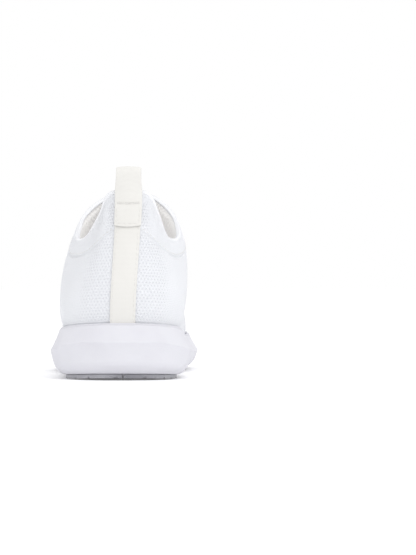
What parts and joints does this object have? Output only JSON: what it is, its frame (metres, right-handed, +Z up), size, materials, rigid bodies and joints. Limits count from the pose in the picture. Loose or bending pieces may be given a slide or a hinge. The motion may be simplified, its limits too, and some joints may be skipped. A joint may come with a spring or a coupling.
{
  "type": "running shoe",
  "caption": "Slip-on knit running shoe for the left foot: sock-like upper, flared foam midsole, heel tape with pull loop, and a sole that flexes at the ball.",
  "frame": {"origin": "under the middle of the bounding box, on the ground", "axes": "+X towards the inner (medial) side of the foot, +Y towards the toe, +Z up"},
  "size_m": [0.0974, 0.286, 0.1292],
  "materials": {
    "midsole_foam": "moulded EVA foam, satin",
    "outsole_rubber": "matt",
    "knit": "white engineered knit",
    "lining": "brushed lining cloth",
    "padding": "open-cell foam",
    "ribbon": "cream grosgrain ribbon",
    "stiffener": "heel counter and toe puff sheet",
    "board": "non-woven strobel board",
    "liner_cloth": "sock liner top cloth on foam"
  },
  "bodies": {
    "rear_shoe": {"midsole_rear": "midsole_foam", "outsole_heel_medial": "outsole_rubber", "outsole_heel_lateral": "outsole_rubber", "outsole_midfoot_medial": "outsole_rubber", "outsole_midfoot_lateral": "outsole_rubber", "outsole_ball_medial": "outsole_rubber", "outsole_ball_lateral": "outsole_rubber", "strobel_board_rear": "board", "sock_liner_rear": "liner_cloth", "knit_upper_rear": "knit", "vamp_flex_zone": "knit", "heel_counter": "stiffener", "collar_foam_medial": "padding", "collar_foam_lateral": "padding", "quarter_lining": "lining", "heel_tape": "ribbon", "pull_loop_outer_end": "ribbon", "pull_loop_inner_end": "ribbon"},
    "forefoot": {"midsole_forefoot": "midsole_foam", "outsole_forefoot_medial": "outsole_rubber", "outsole_forefoot_lateral": "outsole_rubber", "outsole_toe": "outsole_rubber", "strobel_board_forefoot": "board", "sock_liner_forefoot": "liner_cloth", "knit_upper_forefoot": "knit", "toe_puff": "stiffener"},
    "loop": {"pull_loop": "ribbon"}
  },
  "joints": [
    {"name": "toe_flex", "type": "hinge", "parent": "rear_shoe", "child": "forefoot", "pos_m": [0.00469, 0.0454, 0.017], "axis": [0.9874, 0.158, 0], "range_deg": [0, 35], "stiffness_Nm_per_rad": 8, "deforming": ["vamp_flex_zone"]},
    {"name": "pull_loop_fold", "type": "hinge", "parent": "rear_shoe", "child": "loop", "pos_m": [0.00819, -0.13111, 0.112], "axis": [1, 0, 0], "range_deg": [-50, 50], "stiffness_Nm_per_rad": 0.01, "deforming": ["pull_loop_outer_end", "pull_loop_inner_end"]}
  ]
}
